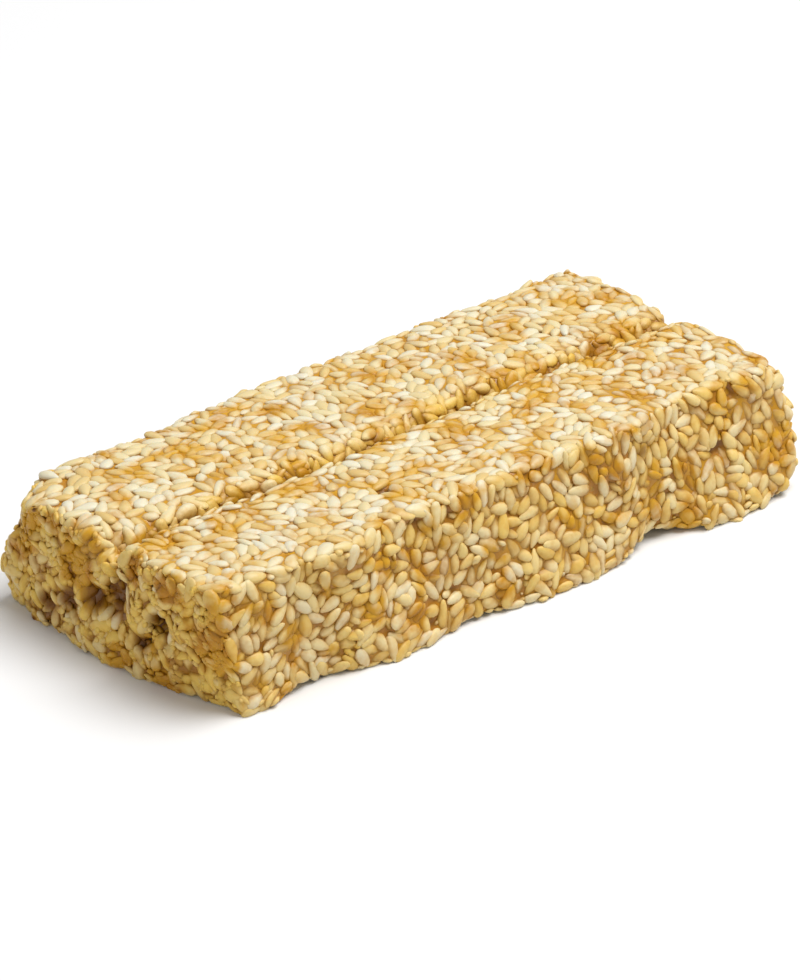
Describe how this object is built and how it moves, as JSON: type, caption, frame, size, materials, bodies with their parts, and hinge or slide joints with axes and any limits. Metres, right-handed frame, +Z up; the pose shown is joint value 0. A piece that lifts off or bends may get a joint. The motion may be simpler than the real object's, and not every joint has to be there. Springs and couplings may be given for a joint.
{
  "type": "sesame brittle slab",
  "caption": "Thick bar of hulled sesame seeds bound in golden sugar, creased lengthwise into two joined fingers, with rough ends and an uneven foot.",
  "frame": {"origin": "centre of the slab's underside: the middle of its outline seen from above, at the surface that it rests on", "axes": "+X along the slab, towards the end where the crease is shallow; +Y across it, towards the rounder of the two fingers; +Z up, out of the creased top"},
  "size_m": [0.0964, 0.0462, 0.0171],
  "materials": {
    "brittle": "satin",
    "amber_sugar": "gloss",
    "pale_seed": "satin",
    "golden_seed": "satin",
    "toasted_seed": "satin"
  },
  "bodies": {
    "root": {"slab": "brittle"}
  },
  "joints": []
}
